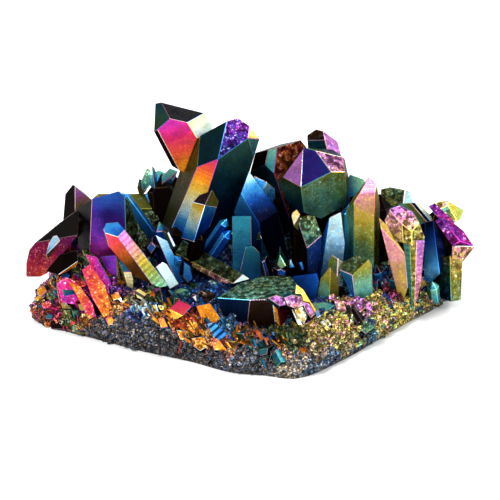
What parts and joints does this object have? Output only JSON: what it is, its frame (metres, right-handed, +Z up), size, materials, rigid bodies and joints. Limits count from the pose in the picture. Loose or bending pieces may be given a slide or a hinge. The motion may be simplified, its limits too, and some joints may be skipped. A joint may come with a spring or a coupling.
{
  "type": "aura quartz cluster",
  "caption": "Cluster of metal-coated rainbow quartz points that lean out of a dished druse slab with a flat cut underside.",
  "frame": {"origin": "middle of the bounding box, on the cut underside", "axes": "+Z up, +X along the slab's length, -Y towards the side that is shown"},
  "size_m": [0.1022, 0.0656, 0.0451],
  "materials": {
    "magenta_coat": "polished",
    "violet_coat": "polished",
    "blue_coat": "polished",
    "teal_coat": "polished",
    "olive_coat": "polished",
    "gold_coat": "polished",
    "dark_coat": "polished",
    "druse_crust": "rough"
  },
  "bodies": {
    "root": {"tall_twin_points": "magenta_coat", "stout_point": "violet_coat", "violet_block": "violet_coat", "front_table": "olive_coat", "broad_blue_point": "blue_coat", "gold_column": "gold_coat", "orange_capped_prism": "gold_coat", "crown_point": "magenta_coat", "pitted_sceptre": "magenta_coat", "magenta_spear": "magenta_coat", "gold_nugget": "gold_coat", "magenta_flank": "magenta_coat", "dark_spire": "dark_coat", "pink_blade": "magenta_coat", "olive_prism": "olive_coat", "mint_blade": "teal_coat", "white_stub": "teal_coat", "blue_leaf": "blue_coat", "blue_twin_left": "blue_coat", "blue_twin_right": "blue_coat", "teal_slab": "teal_coat", "dark_pointed_prism": "dark_coat", "speckled_point": "olive_coat", "gold_bead": "gold_coat", "mint_slab": "teal_coat", "grey_slab": "blue_coat", "cyan_back_point": "teal_coat", "pink_yellow_blade": "gold_coat", "dark_right_back": "dark_coat", "pastel_point": "olive_coat", "deep_blue_prism": "blue_coat", "olive_right_block": "olive_coat", "black_blade": "dark_coat", "purple_stub": "violet_coat", "yellow_green_blade": "gold_coat", "banded_stub": "olive_coat", "mint_tip": "teal_coat", "olive_tip": "olive_coat", "dark_tip": "dark_coat", "blue_block": "blue_coat", "orange_leaf": "gold_coat", "pink_rhomb": "magenta_coat", "orange_wedge": "gold_coat", "ribbed_fragment": "teal_coat", "encrusted_ridges": "magenta_coat", "teal_blade": "teal_coat", "brown_back_point": "dark_coat", "blue_violet_point": "violet_coat", "olive_back_slab": "olive_coat", "left_spray": "teal_coat", "back_point_1": "blue_coat", "back_point_2": "teal_coat", "back_point_3": "violet_coat", "back_point_4": "olive_coat", "back_point_5": "gold_coat", "back_point_6": "dark_coat", "druse_base": "druse_crust"}
  },
  "joints": []
}
